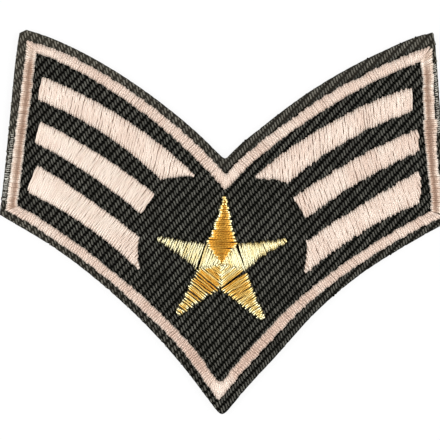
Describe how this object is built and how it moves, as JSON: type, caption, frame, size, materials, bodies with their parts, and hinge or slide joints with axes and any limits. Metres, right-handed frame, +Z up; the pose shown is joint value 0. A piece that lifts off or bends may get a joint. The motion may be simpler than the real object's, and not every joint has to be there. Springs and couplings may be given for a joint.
{
  "type": "iron-on patch",
  "caption": "Chevron-shaped iron-on cloth patch with a satin-stitched border, slanting satin bars on both wings, a satin star in the middle and a heat-set film on the back.",
  "frame": {"origin": "middle of the patch's box in plan, on the surface that the patch lies on", "axes": "+Z up out of the stitched face, +Y towards the tip of the star's top arm and the notch between the wings, +X towards the right wing"},
  "size_m": [0.0896, 0.0768, 0.002],
  "materials": {
    "twill": "dark olive-charcoal twill of coarse synthetic yarn, dull",
    "cream_thread": "cream embroidery thread in satin stitch, silky",
    "gold_thread": "metallic gold embroidery thread in satin stitch, bright",
    "glue_film": "thin milky film of hot-melt glue, waxy shine"
  },
  "bodies": {
    "root": {"adhesive_film": "glue_film", "ground": "twill", "border_top_left": "cream_thread", "border_top_right": "cream_thread", "border_side_left": "cream_thread", "border_side_right": "cream_thread", "border_bottom_left": "cream_thread", "border_bottom_right": "cream_thread", "bar_upper_left": "cream_thread", "bar_middle_left": "cream_thread", "bar_lower_left": "cream_thread", "bar_upper_right": "cream_thread", "bar_middle_right": "cream_thread", "bar_lower_right": "cream_thread", "star_arm_top": "gold_thread", "star_arm_left": "gold_thread", "star_arm_right": "gold_thread", "star_arm_lower_left": "gold_thread", "star_arm_lower_right": "gold_thread"}
  },
  "joints": []
}
